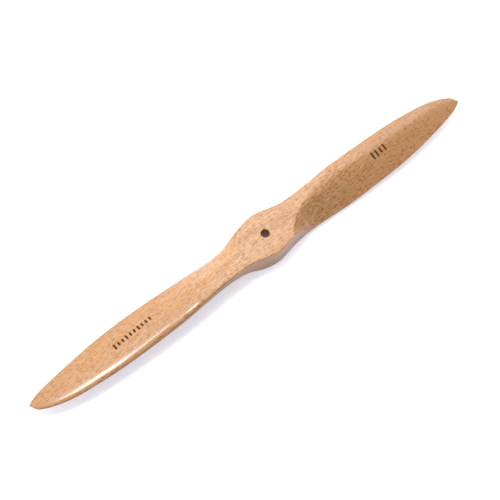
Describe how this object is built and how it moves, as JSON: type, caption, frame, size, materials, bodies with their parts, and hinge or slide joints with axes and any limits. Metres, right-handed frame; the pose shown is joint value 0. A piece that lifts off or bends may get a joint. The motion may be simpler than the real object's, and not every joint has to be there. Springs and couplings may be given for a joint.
{
  "type": "propeller",
  "caption": "Fixed-pitch two-blade wooden propeller for a model aircraft engine, in beech, modelled as a blank of six glued boards, with a plain shaft bore through its hub.",
  "frame": {"origin": "on the shaft axis at the hub's rear face", "axes": "+Z along the shaft axis out of the front face, +X along one blade, +Y towards that blade's leading edge"},
  "size_m": [0.4826, 0.0432, 0.024],
  "materials": {
    "beech": "clear gloss lacquer over beech",
    "ink": "printed ink under lacquer"
  },
  "bodies": {
    "root": {"board_1_rear": "beech", "board_2": "beech", "board_3": "beech", "board_4": "beech", "board_5": "beech", "board_6_front": "beech", "ink_mark_left_blade": "ink", "ink_mark_right_blade": "ink"}
  },
  "joints": []
}
